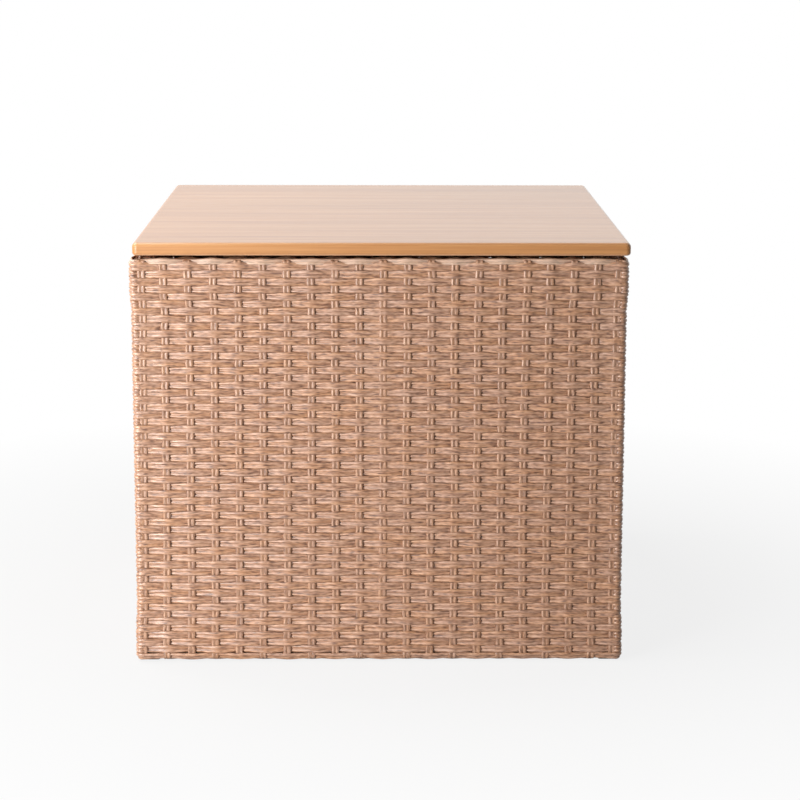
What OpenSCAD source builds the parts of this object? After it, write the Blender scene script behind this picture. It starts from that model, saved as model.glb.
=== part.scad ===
/* [Woven body] */
// Width of the woven body at its lower edge, side to side
box_w = 506; // [400:5:640]
// Depth of the woven body at its lower edge, front to back
box_d = 506; // [400:5:640]
// Height of the woven rim above the floor
rim_z = 422; // [300:1:600]
// Height of the weave's lower edge above the floor
weave_clear = 0.8; // [0.5:0.1:6]
// Thickness of the weave, on the sides and where it folds round the rails
weave_t = 4.8; // [4.5:0.1:5.5]
// How far the faces at the rim lie inside those of the lower edge
rim_in = 1.6; // [0:0.1:2]
// How far the sides are drawn in between rim and lower edge
waist_in = 2.6; // [0:0.1:3]
// Height in which they draw in, next to the rim and next to the lower edge
waist_run = 35; // [20:5:80]
// Radius of the body's upright corners
corner_r = 7; // [6:0.5:10]
// Radius of the fold over the rim
rim_r = 4; // [2:0.1:5]
// Radius of the fold under the lower edge
hem_r = 7; // [5:0.5:9]
// Courses of weft strip from the lower edge to the rim
courses = 56; // [30:1:80]
// Depth of the groove between two courses
course_groove = 0.9; // [0.3:0.1:1.5]

/* [Frame] */
// Side of the square frame tube
tube = 20; // [16:1:26]
// Wall of the frame tube
tube_wall = 1.2; // [1:0.1:2]
// Ease between a post's corner and the weave's inner corner
corner_ease = 0.5; // [0.3:0.1:1]
// Width of the flat bar behind the middle of each woven side
upright_w = 14; // [8:1:30]
// Thickness of that bar
upright_t = 6; // [3:0.5:10]
// Distance of each floor bearer from the middle
bearer_x = 110; // [60:5:140]

/* [Floor] */
// Thickness of the floor panel
floor_t = 6; // [4:0.5:12]
// Gap between the floor panel's edge and the uprights
floor_gap = 2; // [1:0.5:5]
// Gap between the panel's corner notches and the posts
notch_gap = 1; // [0.5:0.1:3]
// Radius of a drain hole
drain_r = 5; // [3:0.5:8]
// Distance between drain holes
drain_pitch = 80; // [40:5:90]
// Distance of a rail screw from the middle of its rail
floor_screw_x = 170; // [60:5:180]
// Distance between the screws in a bearer
floor_screw_pitch = 130; // [60:5:170]

/* [Glides] */
// Radius of the round pad under a glide
pad_r = 5; // [4:0.5:9]
// Height of the round pad
pad_h = 1.6; // [1:0.1:2.2]
// Length of the plug inside the post
plug_l = 16; // [8:1:30]
// Gap round the plug
plug_gap = 0.1; // [0.05:0.05:0.3]
// Wall of the hollow plug
plug_wall = 2; // [1:0.1:4]

/* [Lid] */
// Thickness of the wooden lid
lid_t = 13; // [10:0.5:30]
// Overhang of the lid past the front and the sides, below zero where the weave stands out
lid_over = -3; // [-4:0.5:20]
// How far the lid was screwed on off the middle, to the right
lid_shift = 2.5; // [0:0.5:4]
// Radius of the lid's corners, seen from above
lid_corner_r = 5.5; // [4:0.5:30]
// Radius worked along the lid's top and bottom edges
lid_edge_r = 3; // [1:0.1:3.5]
// Angle at which the hinge stops hold the open lid
lid_open = 100; // [92:1:108]
// Width of a batten under the lid
batten_w = 22; // [14:1:40]
// Height of a batten
batten_h = 12; // [8:1:24]
// Distance of each batten from the lid's middle
batten_x = 150; // [80:5:170]
// Gap between a batten's ends and the rim
batten_gap = 12; // [8:1:40]
// Length of the slope at a batten's ends
batten_slope = 10; // [2:1:20]
// Distance between the screws in a batten
batten_screw_pitch = 170; // [80:5:180]
// Radius of a rubber bumper under the lid
bumper_r = 5; // [4:0.5:9]
// Radius of the bumper's lower edge
bumper_edge = 0.8; // [0.3:0.1:1.2]
// Distance of the bumpers from the middle, front to back
bumper_y = 180; // [80:5:185]

/* [Hinges] */
// Distance of each hinge from the middle
hinge_x = 150; // [70:5:160]
// Length of a hinge
hinge_l = 65; // [50:1:100]
// Thickness of a hinge leaf
leaf_t = 1.6; // [1:0.1:2]
// Gap between the closed leaves
leaf_gap = 0.4; // [0.2:0.1:1]
// How far a leaf stops short of the rim's inner edge
leaf_inset = 1.5; // [0.5:0.1:6]
// Radius of a leaf's inner corners
leaf_corner_r = 3; // [1:0.5:6]
// Outer radius of the knuckles
knuckle_r = 3; // [2.6:0.1:5]
// Gap between a knuckle and the lid, the weave and the other leaf
knuckle_gap = 0.2; // [0.1:0.05:0.5]
// Gap at the end of each knuckle
knuckle_side_gap = 0.1; // [0.05:0.05:0.4]
// Radius of the hinge pin
pin_r = 1.5; // [1:0.1:1.9]
// Running clearance round the hinge pin
pin_gap = 0.05; // [0.02:0.01:0.1]
// Radius of the pin's riveted heads
pin_head_r = 2.4; // [2:0.1:3]
// Height of the pin's riveted heads
pin_head_h = 1.1; // [0.6:0.1:2]
// Thickness of the stop heel on a moving knuckle
heel_t = 2.2; // [1.5:0.1:3]
// Reach of the stop heel and the stop lug from the pin's axis
heel_reach = 7; // [6:0.1:10]
// Thickness of the stop lug on the fixed leaf
lug_t = 2.4; // [1.5:0.1:4]
// How far the lug's stem stays back from each end of its knuckle
stem_inset = 0.6; // [0.3:0.1:3]
// Clearance between heel and lug at the end of the travel
stop_gap = 0.05; // [0.02:0.01:0.1]
// Distance between the screws of a leaf
leaf_screw_pitch = 22; // [16:1:22]

/* [Screws] */
// Radius of a screw's shank
shank_r = 1.9; // [1.5:0.1:2]
// Radius of a screw's countersunk head
head_r = 3.1; // [2.8:0.1:3.4]
// Clearance round shank and head
screw_gap = 0.05; // [0.02:0.01:0.1]
// Length of the screws in floor and rim
steel_screw_l = 15; // [12:1:18]
// Length of the hinge screws in the lid
lid_screw_l = 10; // [6:0.5:10.5]
// How far the batten screws go into the lid
batten_screw_bite = 7.5; // [4:0.5:8.5]
// Length of a screw's point
point_l = 2.5; // [1:0.5:3.5]
// Length of one slot of the cross recess
recess_l = 3.4; // [2:0.1:4]
// Width of that slot
recess_w = 0.7; // [0.4:0.1:1]
// Depth of the cross recess
recess_h = 0.6; // [0.3:0.1:0.9]

/* [Hidden] */
$fn = 48;

// Heights of the frame inside the folded weave
frame_z0 = weave_clear + weave_t;
frame_z1 = rim_z - weave_t;
rail_top_z = frame_z1 - tube;
floor_z = frame_z0 + tube;
floor_top = floor_z + floor_t;

// Plan of the frame: the posts' axes and the clear runs between posts
tube_r = corner_r - weave_t + corner_ease;
post_x = box_w / 2 - weave_t - tube / 2;
post_y = box_d / 2 - weave_t - tube / 2;
run_x = box_w - 2 * (weave_t + tube);
run_y = box_d - 2 * (weave_t + tube);
rim_w = tube + 2 * weave_t;
course_h = (rim_z - weave_clear) / courses;

// The pivot lies behind the back face, halfway between the two leaves
lid_gap = 2 * leaf_t + leaf_gap;
lid_z = rim_z + lid_gap;
pivot_y = box_d / 2 + knuckle_r + knuckle_gap;
pivot_z = rim_z + lid_gap / 2;
knuckle_n = 5;
knuckle_pitch = hinge_l / knuckle_n;
knuckle_l = knuckle_pitch - 2 * knuckle_side_gap;
bore_r = pin_r + pin_gap;
leaf_edge = knuckle_r + 1.5 * knuckle_gap;
leaf_reach = rim_w - leaf_inset + knuckle_r + knuckle_gap;
leaf_screw_y = pivot_y - post_y;
leaf_screws = [-leaf_screw_pitch, 0, leaf_screw_pitch];

// The lid's sizes: its back edge stays in line with the box's back face
lid_w = box_w + 2 * lid_over;
lid_d = box_d + lid_over;
lid_y = -lid_over / 2;
batten_l = box_d - 2 * (rim_w + batten_gap);

floor_screw_spots = concat(
    [for (x = [-1, 1], y = [-1, 1]) [x * floor_screw_x, y * post_y]],
    [for (x = [-1, 1], y = [-1, 0, 1]) [x * bearer_x, y * floor_screw_pitch]]
);
hinge_screw_spots = [for (side = [-1, 1], x = leaf_screws) [side * hinge_x + x, post_y]];
batten_screw_spots = [
    for (side = [-1, 1], y = [-1, 0, 1]) [lid_shift + side * batten_x, y * batten_screw_pitch]
];

weave_tone = "#cda182";
wood_tone = "#dcb089";
frame_tone = "#5b4636";
floor_tone = "#6f5a49";
steel_tone = "#b9bcbf";
rubber_tone = "#2b2724";

// Cuts reach this far past the faces that they open
past = 1;

// Small shapes that several pieces share

module rounded_square(w, d, r) {
    square([w - 2 * r, d], center = true);
    square([w, d - 2 * r], center = true);
    for (x = [-1, 1], y = [-1, 1]) translate([x * (w / 2 - r), y * (d / 2 - r)]) circle(r);
}

module square_tube(length) {
    bore = tube - 2 * tube_wall;
    linear_extrude(length) difference() {
        rounded_square(tube, tube, tube_r);
        rounded_square(bore, bore, max(tube_r - tube_wall, 0.3));
    }
}

// A countersunk screw that points down, with the top of its head at the origin
module screw(length) {
    head_h = head_r - shank_r;
    difference() {
        rotate_extrude() polygon([
            [0, 0], [head_r, 0], [shank_r, -head_h], [shank_r, point_l - length], [0, -length]
        ]);
        for (turn = [0, 90]) rotate(turn)
            translate([-recess_l / 2, -recess_w / 2, -recess_h]) cube([recess_l, recess_w, past]);
    }
}

// The hole for that screw: a straight bore with a countersink for the head
module screw_hole(length) {
    sink_r = head_r + screw_gap;
    hole_r = shank_r + screw_gap;
    rotate_extrude() polygon([
        [0, past], [sink_r, past], [sink_r, 0], [hole_r, hole_r - sink_r],
        [hole_r, -length - screw_gap], [0, -length - screw_gap]
    ]);
}

// A straight bore for the screw's shank alone, open at both ends
module shank_hole(z0, z1) {
    translate([0, 0, z0]) cylinder(h = z1 - z0, r = shank_r + screw_gap);
}

// Welded tube frame

module post(x, y) {
    color(frame_tone) translate([x * post_x, y * post_y, frame_z0])
        square_tube(frame_z1 - frame_z0);
}

// A rail along X at the front or the back, with bores in its upper wall
module cross_rail(side, z, spots) {
    color(frame_tone) difference() {
        translate([-run_x / 2, side * post_y, z + tube / 2]) rotate([0, 90, 0]) square_tube(run_x);
        for (spot = spots) if (spot[1] * side > 0)
            translate([spot[0], spot[1], 0]) shank_hole(z + tube - 2 * tube_wall, z + tube + past);
    }
}

// A rail or bearer along Y, with bores in its upper wall
module long_rail(x, z, spots) {
    color(frame_tone) difference() {
        translate([x, run_y / 2, z + tube / 2]) rotate([90, 0, 0]) square_tube(run_y);
        for (spot = spots) if (abs(spot[0] - x) < tube / 2)
            translate([spot[0], spot[1], 0]) shank_hole(z + tube - 2 * tube_wall, z + tube + past);
    }
}

// A flat bar behind the middle of a woven side, whose outer face is dist from the centre
module upright(dist) {
    color(frame_tone) translate([-upright_w / 2, weave_t - dist, floor_z])
        cube([upright_w, upright_t, rail_top_z - floor_z]);
}

// Floor panel, cut out round the posts and drilled for drainage
module floor_panel() {
    w = box_w - 2 * (weave_t + upright_t + floor_gap);
    d = box_d - 2 * (weave_t + upright_t + floor_gap);
    notch = tube + 2 * notch_gap;
    color(floor_tone) difference() {
        translate([-w / 2, -d / 2, floor_z]) cube([w, d, floor_t]);
        for (x = [-1, 1], y = [-1, 1]) translate([x * post_x, y * post_y, floor_z + floor_t / 2])
            cube([notch, notch, floor_t + 2 * past], center = true);
        for (x = [-1, 0, 1], y = [-1, 0, 1])
            translate([x * drain_pitch, y * drain_pitch, floor_z - past])
                cylinder(h = floor_t + 2 * past, r = drain_r);
        for (spot = floor_screw_spots) translate([spot[0], spot[1], floor_top])
            screw_hole(floor_t + past);
    }
}

module floor_screws() {
    color(steel_tone) for (spot = floor_screw_spots)
        translate([spot[0], spot[1], floor_top]) screw(steel_screw_l);
}

// Plastic glide: a hollow plug in the post's bore, a flange under its end and a round pad
module glide(x, y) {
    plug = tube - 2 * (tube_wall + plug_gap);
    hollow = plug - 2 * plug_wall;
    plug_r = max(tube_r - tube_wall, 0.3);
    color(rubber_tone) translate([x * post_x, y * post_y, 0]) {
        cylinder(h = pad_h, r = pad_r);
        translate([0, 0, pad_h]) linear_extrude(frame_z0 - pad_h) rounded_square(tube, tube, tube_r);
        translate([0, 0, frame_z0]) linear_extrude(plug_l) difference() {
            rounded_square(plug, plug, plug_r);
            square(hollow, center = true);
        }
    }
}

// Weave: the courses of weft run round the body, and the stakes fold round the rails. Each
// section below gives the distance in from the outer face against the height.

// Points of a fold's arc, between two turns from the upright face
function hem_arc(turn0, turn1) = [
    for (i = [0 : 3]) let (turn = turn0 + (turn1 - turn0) * i / 3)
        [hem_r * (1 - cos(turn)), weave_clear + hem_r * (1 - sin(turn))]
];
function rim_arc(start) = [
    for (turn = [0 : 30 : 90]) [start + rim_r * (1 - cos(turn)), rim_z - rim_r * (1 - sin(turn))]
];
function flipped(points) = [for (i = [len(points) - 1 : -1 : 0]) points[i]];
function outwards(points, from) = [for (p = points) [from - p[0], p[1]]];

// The turn of the lower fold at which it passes behind the skin's inner face
hem_turn = acos(1 - weave_t / hem_r);

// The upright part of the face: how far in it lies at a height, and its grooves between courses
upright_z0 = weave_clear + hem_r;
upright_z1 = rim_z - rim_r;
function drawn_in(z) = lookup(z, [
    [upright_z0, 0], [upright_z0 + waist_run, waist_in], [upright_z1 - waist_run, waist_in], [upright_z1, rim_in]
]);
function course_points() = [
    for (i = [1 : courses - 1])
        let (z = weave_clear + i * course_h, low = z - course_h / 4, high = z + course_h / 4)
        if (low > upright_z0 && high < upright_z1)
            each [[drawn_in(low), low], [drawn_in(z) + course_groove, z], [drawn_in(high), high]]
];

// The skin with the first stretch of the rim, as radius from the corner's axis against height
module skin_section() {
    polygon(outwards(concat(
        flipped(hem_arc(0, hem_turn)),
        course_points(),
        rim_arc(rim_in),
        [[corner_r, rim_z], [corner_r, frame_z1], [weave_t, frame_z1]]
    ), corner_r));
}

// The rest of the rim, over the top rail and down its inner face
module rim_section() {
    polygon(concat(
        [[corner_r, frame_z1], [corner_r, rim_z]],
        flipped([for (p = rim_arc(0)) [rim_w - p[0], p[1]]]),
        [[rim_w, rail_top_z], [rim_w - weave_t, rail_top_z], [rim_w - weave_t, frame_z1]]
    ));
}

// The weave under the bottom rail
module hem_section() {
    polygon(concat(
        [[weave_t, frame_z0]],
        hem_arc(hem_turn, 90),
        [[weave_t + tube, weave_clear], [weave_t + tube, frame_z0]]
    ));
}

// One woven side, facing -Y, of the given length with its outer face dist from the centre
module woven_side(length, dist) {
    flat = length / 2 - corner_r;
    under = length / 2 - weave_t - tube - notch_gap;
    translate([flat, corner_r - dist, 0]) {
        rotate([90, 0, -90]) linear_extrude(2 * flat) skin_section();
        rotate(-90) rotate_extrude(angle = 45) skin_section();
    }
    translate([-flat, corner_r - dist, 0]) rotate(-135) rotate_extrude(angle = 45) skin_section();
    intersection() {
        translate([-length / 2, -dist, 0]) rotate([90, 0, 90]) linear_extrude(length) rim_section();
        translate([0, -dist, rail_top_z - past]) linear_extrude(rim_z - rail_top_z + 2 * past)
            polygon([[-length / 2, 0], [length / 2, 0], [length / 2 - 2 * rim_w, 2 * rim_w],
                [2 * rim_w - length / 2, 2 * rim_w]]);
    }
    translate([-under, -dist, 0]) rotate([90, 0, 90]) linear_extrude(2 * under) hem_section();
}

module front_weave() {
    color(weave_tone) woven_side(box_w, box_d / 2);
}

module rear_weave() {
    color(weave_tone) difference() {
        rotate(180) woven_side(box_w, box_d / 2);
        for (spot = hinge_screw_spots) translate([spot[0], spot[1], 0])
            shank_hole(frame_z1 - past, rim_z + past);
    }
}

module left_weave() {
    color(weave_tone) rotate(-90) woven_side(box_d, box_w / 2);
}

module right_weave() {
    color(weave_tone) rotate(90) woven_side(box_d, box_w / 2);
}

// Stop hinges, drawn round the pin's axis, which is the X axis here

module knuckles(numbers) {
    for (i = numbers)
        translate([(i - knuckle_n / 2) * knuckle_pitch + knuckle_side_gap, 0, 0])
            rotate([0, 90, 0]) cylinder(h = knuckle_l, r = knuckle_r);
}

// A plate with rounded inner corners and a tongue to each of its knuckles
module leaf_plate(numbers) {
    w = hinge_l;
    translate([0, 0, leaf_gap / 2]) linear_extrude(leaf_t) {
        translate([-w / 2, leaf_corner_r - leaf_reach])
            square([w, leaf_reach - leaf_corner_r - leaf_edge]);
        translate([leaf_corner_r - w / 2, -leaf_reach]) square([w - 2 * leaf_corner_r, leaf_corner_r + past]);
        for (x = [-1, 1]) translate([x * (w / 2 - leaf_corner_r), leaf_corner_r - leaf_reach])
            circle(leaf_corner_r);
        for (i = numbers)
            translate([(i - knuckle_n / 2) * knuckle_pitch + knuckle_side_gap, -leaf_edge - past])
                square([knuckle_l, leaf_edge + past]);
    }
}

module pin_bore() {
    translate([-hinge_l / 2 - past, 0, 0]) rotate([0, 90, 0])
        cylinder(h = hinge_l + 2 * past, r = bore_r);
}

// The moving leaf: its two knuckles carry heels that stand up behind the lid when it is shut
module moving_leaf() {
    root = (bore_r + knuckle_r) / 2;
    difference() {
        union() {
            leaf_plate([1, 3]);
            knuckles([1, 3]);
            for (x = [-1, 1]) translate([x * knuckle_pitch - knuckle_l / 2, -heel_t / 2, root])
                cube([knuckle_l, heel_t, heel_reach - root]);
        }
        pin_bore();
        for (x = leaf_screws) translate([x, -leaf_screw_y, leaf_gap / 2]) rotate([180, 0, 0])
            screw_hole(leaf_t + past);
    }
}

// The lug: a stem on the middle knuckle carries a bridge over both neighbours. It stands where
// the heels come to rest.
module stop_lug() {
    bridge = 1.5 * knuckle_pitch - knuckle_side_gap;
    stem = knuckle_l / 2 - stem_inset;
    under = knuckle_r + 1.5 * knuckle_gap;
    rotate([-lid_open, 0, 0]) translate([0, heel_t / 2 + stop_gap + lug_t, 0])
        rotate([90, 0, 0]) linear_extrude(lug_t) polygon([
            [-stem, knuckle_r / 2], [stem, knuckle_r / 2], [stem, under], [bridge, under],
            [bridge, heel_reach], [-bridge, heel_reach], [-bridge, under], [-stem, under]
        ]);
}

module fixed_leaf() {
    difference() {
        union() {
            mirror([0, 0, 1]) leaf_plate([0, 2, 4]);
            knuckles([0, 2, 4]);
            stop_lug();
        }
        pin_bore();
        for (x = leaf_screws) translate([x, -leaf_screw_y, -leaf_gap / 2]) screw_hole(leaf_t + past);
    }
}

// The pin, closed at each end by a riveted head
module hinge_pin() {
    half = hinge_l / 2 + knuckle_side_gap;
    rotate([0, 90, 0]) rotate_extrude() polygon([
        [0, -half - pin_head_h], [pin_r, -half - pin_head_h], [pin_head_r, -half - pin_head_h / 2],
        [pin_head_r, -half], [pin_r, -half], [pin_r, half], [pin_head_r, half],
        [pin_head_r, half + pin_head_h / 2], [pin_r, half + pin_head_h], [0, half + pin_head_h]
    ]);
}

module at_hinge(side) {
    translate([side * hinge_x, pivot_y, pivot_z]) children();
}

module hinge_rim_screws() {
    color(steel_tone) for (spot = hinge_screw_spots)
        translate([spot[0], spot[1], rim_z + leaf_t]) screw(steel_screw_l);
}

module hinge_lid_screws() {
    color(steel_tone) for (spot = hinge_screw_spots)
        translate([spot[0], spot[1], lid_z - leaf_t]) rotate([180, 0, 0]) screw(lid_screw_l);
}

// Lid: one board with its corners rounded and its edges worked to a radius

// Section of the board's edge, from the corner's axis outwards
module edge_section() {
    square([lid_corner_r - lid_edge_r, lid_t]);
    translate([0, lid_edge_r]) square([lid_corner_r, lid_t - 2 * lid_edge_r]);
    intersection() {
        square([lid_corner_r, lid_t]);
        for (z = [lid_edge_r, lid_t - lid_edge_r]) translate([lid_corner_r - lid_edge_r, z])
            circle(lid_edge_r);
    }
}

module lid_board() {
    flat_x = lid_w - 2 * lid_corner_r;
    flat_y = lid_d - 2 * lid_corner_r;
    translate([-flat_x / 2, -flat_y / 2, 0]) cube([flat_x, flat_y, lid_t]);
    for (turn = [0, 90, 180, 270]) {
        run = turn % 180 == 0 ? flat_x : flat_y;
        reach = turn % 180 == 0 ? flat_y : flat_x;
        rotate(turn) translate([run / 2, -reach / 2, 0]) {
            rotate([90, 0, -90]) linear_extrude(run) edge_section();
            rotate(-90) rotate_extrude(angle = 90) edge_section();
        }
    }
}

module lid_panel() {
    color(wood_tone) difference() {
        translate([lid_shift, lid_y, lid_z]) lid_board();
        for (spot = hinge_screw_spots) translate([spot[0], spot[1], lid_z - past])
            cylinder(h = lid_screw_l - leaf_t + screw_gap + past, r = shank_r + screw_gap);
        for (spot = batten_screw_spots) translate([spot[0], spot[1], lid_z - past])
            cylinder(h = batten_screw_bite + screw_gap + past, r = shank_r + screw_gap);
    }
}

module lid_batten(side) {
    half = batten_l / 2;
    color(wood_tone) difference() {
        translate([lid_shift + side * batten_x - batten_w / 2, 0, lid_z - batten_h])
            rotate([90, 0, 90]) linear_extrude(batten_w) polygon([
                [batten_slope - half, 0], [half - batten_slope, 0], [half, batten_h / 2],
                [half, batten_h], [-half, batten_h], [-half, batten_h / 2]
            ]);
        for (spot = batten_screw_spots) if (spot[0] * side > 0)
            translate([spot[0], spot[1], lid_z - batten_h]) rotate([180, 0, 0])
                screw_hole(batten_h + past);
    }
}

module batten_screws() {
    color(steel_tone) for (spot = batten_screw_spots)
        translate([spot[0], spot[1], lid_z - batten_h]) rotate([180, 0, 0])
            screw(batten_h + batten_screw_bite);
}

// Rubber discs on the lid that rest on the rim over the side rails
module lid_bumpers() {
    color(rubber_tone) for (x = [-1, 1], y = [-1, 1])
        translate([x * post_x, y * bumper_y, rim_z]) {
            cylinder(h = bumper_edge, r1 = bumper_r - bumper_edge, r2 = bumper_r);
            translate([0, 0, bumper_edge]) cylinder(h = lid_gap - bumper_edge, r = bumper_r);
        }
}

post(-1, -1);  // front_left_post
post(1, -1);  // front_right_post
post(-1, 1);  // rear_left_post
post(1, 1);  // rear_right_post
cross_rail(-1, rail_top_z, []);  // front_top_rail
cross_rail(1, rail_top_z, hinge_screw_spots);  // rear_top_rail
long_rail(-post_x, rail_top_z, []);  // left_top_rail
long_rail(post_x, rail_top_z, []);  // right_top_rail
cross_rail(-1, frame_z0, floor_screw_spots);  // front_bottom_rail
cross_rail(1, frame_z0, floor_screw_spots);  // rear_bottom_rail
long_rail(-post_x, frame_z0, []);  // left_bottom_rail
long_rail(post_x, frame_z0, []);  // right_bottom_rail
upright(box_d / 2);  // front_upright
rotate(180) upright(box_d / 2);  // rear_upright
rotate(-90) upright(box_w / 2);  // left_upright
rotate(90) upright(box_w / 2);  // right_upright
long_rail(-bearer_x, frame_z0, floor_screw_spots);  // left_floor_bearer
long_rail(bearer_x, frame_z0, floor_screw_spots);  // right_floor_bearer
floor_panel();
floor_screws();
front_weave();
rear_weave();
left_weave();
right_weave();
glide(-1, -1);  // front_left_glide
glide(1, -1);  // front_right_glide
glide(-1, 1);  // rear_left_glide
glide(1, 1);  // rear_right_glide
color(steel_tone) at_hinge(-1) fixed_leaf();  // left_hinge_fixed_leaf
color(steel_tone) at_hinge(1) fixed_leaf();  // right_hinge_fixed_leaf
color(steel_tone) at_hinge(-1) moving_leaf();  // left_hinge_moving_leaf
color(steel_tone) at_hinge(1) moving_leaf();  // right_hinge_moving_leaf
color(steel_tone) at_hinge(-1) hinge_pin();  // left_hinge_pin
color(steel_tone) at_hinge(1) hinge_pin();  // right_hinge_pin
hinge_rim_screws();
hinge_lid_screws();
lid_panel();
lid_batten(-1);  // left_lid_batten
lid_batten(1);  // right_lid_batten
batten_screws();
lid_bumpers();
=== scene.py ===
"""A square storage box woven from plastic rattan strip on a tube frame, with a hinged lid."""
import math
import bpy
import numpy as np
from mathutils import Matrix, Vector


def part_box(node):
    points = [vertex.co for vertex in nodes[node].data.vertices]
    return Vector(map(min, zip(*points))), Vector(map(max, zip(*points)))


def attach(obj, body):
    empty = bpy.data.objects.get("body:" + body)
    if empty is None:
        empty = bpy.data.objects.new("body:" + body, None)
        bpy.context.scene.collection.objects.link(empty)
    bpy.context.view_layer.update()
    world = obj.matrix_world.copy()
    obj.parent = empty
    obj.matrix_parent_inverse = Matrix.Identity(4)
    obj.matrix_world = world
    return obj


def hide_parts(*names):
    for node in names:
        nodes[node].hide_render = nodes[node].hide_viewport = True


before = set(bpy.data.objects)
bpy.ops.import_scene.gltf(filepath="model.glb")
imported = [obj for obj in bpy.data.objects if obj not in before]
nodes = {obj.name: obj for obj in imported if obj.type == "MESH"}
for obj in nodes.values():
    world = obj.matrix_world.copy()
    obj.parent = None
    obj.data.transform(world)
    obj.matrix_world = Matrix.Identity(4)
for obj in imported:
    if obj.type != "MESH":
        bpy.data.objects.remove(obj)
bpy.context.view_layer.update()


# Frame: square steel tube, welded into a cage and powder coated brown, with flat uprights behind
# the middle of each side. The coat has a fine orange-peel skin over two close tones.
def new_material(name, roughness=0.5):
    """An empty Principled material: returns the material, its tree and the shader."""
    material = bpy.data.materials.new(name)
    material.use_nodes = True
    tree = material.node_tree
    shader = tree.nodes["Principled BSDF"]
    shader.inputs["Roughness"].default_value = roughness
    return material, tree, shader


def add_node(tree, kind, settings=None, **inputs):
    """Adds a node, sets its properties, and gives its inputs a value or a link.

    An input goes by its name, with _ for a space, or by its number after a first _.
    """
    node = tree.nodes.new(kind)
    for key, value in (settings or {}).items():
        setattr(node, key, value)
    for key, value in inputs.items():
        socket = node.inputs[int(key[1:])] if key[0] == "_" else node.inputs[key.replace("_", " ")]
        if isinstance(value, bpy.types.NodeSocket):
            tree.links.new(value, socket)
        else:
            socket.default_value = value
    return node


def noise(tree, place, **settings):
    """A noise over a place, as a number."""
    return add_node(tree, "ShaderNodeTexNoise", Vector=place, **settings).outputs["Fac"]


def relief(tree, shader, height, strength, depth):
    """Lets a pattern's height tilt the surface."""
    bump = add_node(tree, "ShaderNodeBump", Strength=strength, Distance=depth, Height=height)
    tree.links.new(bump.outputs["Normal"], shader.inputs["Normal"])


def srgb(red, green, blue):
    """A colour from its 0-255 screen values, turned linear as the shader wants it."""
    screen = np.array([red, green, blue]) / 255
    linear = np.where(screen <= 0.04045, screen / 12.92, ((screen + 0.055) / 1.055) ** 2.4)
    return (*linear, 1.0)


def grey(level):
    """A grey of a linear level, for ramps that put out a number."""
    return (level, level, level, 1.0)


def ramp(tree, factor, stops):
    """A colour ramp through (place, colour) stops."""
    node = add_node(tree, "ShaderNodeValToRGB", Fac=factor)
    points = node.color_ramp.elements
    while len(points) < len(stops):
        points.new(0.5)
    for point, (place, colour) in zip(points, stops):
        point.position, point.color = place, colour
    return node.outputs["Color"]


def coated_finish(name, dark, light, roughness, grain, depth):
    """Paint or moulded plastic: two close tones in soft clouds under a fine pebbled skin."""
    material, tree, shader = new_material(name)
    place = add_node(tree, "ShaderNodeTexCoord").outputs["Object"]
    cloud = noise(tree, place, Scale=38.0, Detail=4.0)
    skin = noise(tree, place, Scale=grain, Detail=2.0)
    tree.links.new(ramp(tree, cloud, [(0.35, dark), (0.65, light)]), shader.inputs["Base Color"])
    tree.links.new(ramp(tree, skin, [(0.3, grey(roughness - 0.07)), (0.7, grey(roughness + 0.07))]),
                   shader.inputs["Roughness"])
    relief(tree, shader, skin, 0.5, depth)
    return material


def finish_nodes(material, *names):
    """Gives CAD nodes their finish in every material slot."""
    for name in names:
        node = nodes[name]
        if not node.material_slots:
            node.data.materials.append(material)
        for slot in node.material_slots:
            slot.material = material


CORNERS = [f"{end}_{side}" for end in ("front", "rear") for side in ("left", "right")]
SIDES = ["front", "rear", "left", "right"]
powder_coat = coated_finish("powder_coat", srgb(88, 66, 50), srgb(101, 77, 59), 0.42, 900, 0.0003)
finish_nodes(powder_coat, *[f"{corner}_post" for corner in CORNERS],
             *[f"{side}_{part}" for side in SIDES
               for part in ("top_rail", "bottom_rail", "upright")],
             "left_floor_bearer", "right_floor_bearer")


# Glides: four black plastic plugs pressed into the posts, each with a round pad to stand on.
glide_plastic = coated_finish("glide_plastic", srgb(38, 34, 31), srgb(50, 45, 41), 0.5, 1400,
                              0.0002)
finish_nodes(glide_plastic, *[f"{corner}_glide" for corner in CORNERS])


# Floor: one panel of sealed hardwood ply, dyed brown, drilled for drainage and screwed to the
# rails and the two bearers. Its face grain runs from side to side.
def stretched(tree, place, scale):
    """A place with its axes scaled, for patterns that are drawn out along a strip or a board."""
    return add_node(tree, "ShaderNodeMapping", Vector=place, Scale=scale).outputs["Vector"]


def mixed_colour(tree, share, first, second, how="MIX"):
    """Two colours mixed or multiplied by a share."""
    return add_node(tree, "ShaderNodeMix", {"data_type": "RGBA", "blend_type": how},
                    _0=share, _6=first, _7=second).outputs[2]


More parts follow.
